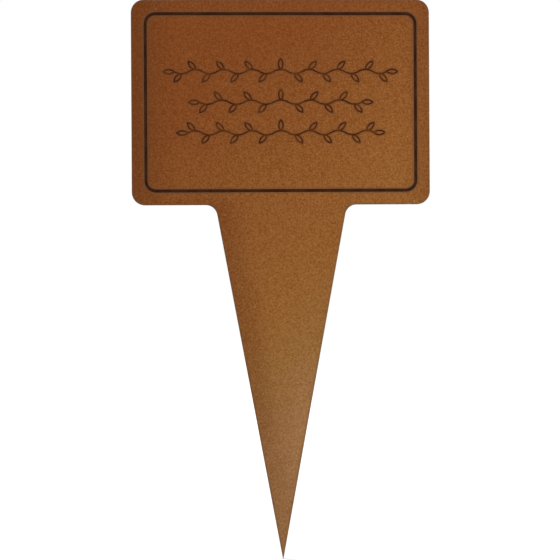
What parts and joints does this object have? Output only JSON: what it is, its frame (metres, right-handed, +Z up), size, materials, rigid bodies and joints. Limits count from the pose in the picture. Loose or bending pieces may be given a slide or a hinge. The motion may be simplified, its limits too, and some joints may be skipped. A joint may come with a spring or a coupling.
{
  "type": "plant label stake",
  "caption": "Flat sheet-metal plant label: a round-cornered panel with a filled engraved border and leafy ornament, on a long tapering blade that is pushed into the soil.",
  "frame": {"origin": "tip of the blade, in the middle of the sheet's thickness", "axes": "+Z up along the middle of the blade, +X to the right of the label, -Y out of the label's face"},
  "size_m": [0.08, 0.0016, 0.15],
  "materials": {
    "brown_coated_steel": "satin coppery brown with a fine even grain",
    "border_enamel": "near-black enamel, low sheen",
    "sprig_enamel": "dark brown enamel, low sheen"
  },
  "bodies": {
    "root": {"stake_plate": "brown_coated_steel", "border_enamel": "border_enamel", "upper_sprig_enamel": "sprig_enamel", "middle_sprig_enamel": "sprig_enamel", "lower_sprig_enamel": "sprig_enamel"}
  },
  "joints": []
}
